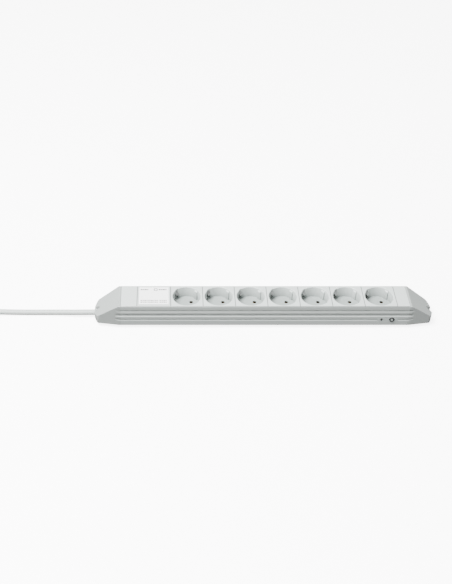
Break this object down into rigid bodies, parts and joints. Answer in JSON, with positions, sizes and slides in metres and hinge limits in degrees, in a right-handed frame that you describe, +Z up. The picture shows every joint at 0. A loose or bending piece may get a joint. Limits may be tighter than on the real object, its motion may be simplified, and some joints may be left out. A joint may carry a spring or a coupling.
{
  "type": "desk power strip",
  "caption": "Low grey power strip with a row of round recessed outlets in a grooved housing, sloped end caps, a push-to-reset breaker and a mains lead.",
  "frame": {"origin": "middle of the strip's flat underside", "axes": "+X along the strip towards the breaker's end, -Y out of the grooved front with the breaker, +Z up out of the outlets"},
  "size_m": [0.8181, 0.0658, 0.0797],
  "materials": {
    "housing": "fine satin powder coat",
    "cap": "fine moulded grain",
    "insert": "satin moulded plastic",
    "label": "satin printed film",
    "steel": "zinc plated",
    "contact_steel": "nickel plated spring strip",
    "brass": "rolled",
    "insulator": "plain",
    "wire_brown": "PVC insulation",
    "wire_blue": "PVC insulation",
    "wire_green": "PVC insulation",
    "grommet": "soft",
    "breaker_black": "satin black",
    "button": "satin",
    "plaque": "satin",
    "cord": "soft PVC sheath",
    "tie": "nylon",
    "plug_black": "fine moulded grain",
    "plated": "nickel plated"
  },
  "bodies": {
    "strip": {"profile_housing": "housing", "end_cap_cable": "cap", "end_cap_blank": "cap", "end_cap_screws": "steel", "blank_plate_left": "insert", "blank_plate_right": "insert", "label_module": "insert", "label_plate": "label", "socket_insert_1": "insert", "socket_insert_2": "insert", "socket_insert_3": "insert", "socket_insert_4": "insert", "socket_insert_5": "insert", "socket_insert_6": "insert", "socket_insert_7": "insert", "earth_clip_1": "contact_steel", "earth_clip_2": "contact_steel", "earth_clip_3": "contact_steel", "earth_clip_4": "contact_steel", "earth_clip_5": "contact_steel", "earth_clip_6": "contact_steel", "earth_clip_7": "contact_steel", "live_busbar": "brass", "neutral_busbar": "brass", "earth_bar": "brass", "insulating_tray": "insulator", "terminal_block": "insulator", "terminal_clamps": "brass", "terminal_screws": "steel", "wire_live": "wire_brown", "wire_neutral": "wire_blue", "wire_earth": "wire_green", "wire_to_breaker": "wire_brown", "wire_from_breaker": "wire_brown", "cord_grommet": "grommet", "cord_clamp": "insulator", "clamp_screws": "steel", "breaker_body": "breaker_black", "breaker_neck": "breaker_black", "breaker_collar": "breaker_black", "breaker_plaque": "plaque", "supply_cord": "cord", "cord_hank": "cord", "cord_tie": "tie", "plug_lead": "cord", "plug_body": "plug_black", "plug_pins": "plated", "plug_earth_contacts": "plated"},
    "reset_button": {"breaker_button": "button"}
  },
  "joints": [
    {"name": "reset_push", "type": "slide", "parent": "strip", "child": "reset_button", "axis": [0, 1, 0], "range_m": [0, 0.0015], "stiffness_N_per_m": 400, "springref_m": -0.0005}
  ]
}
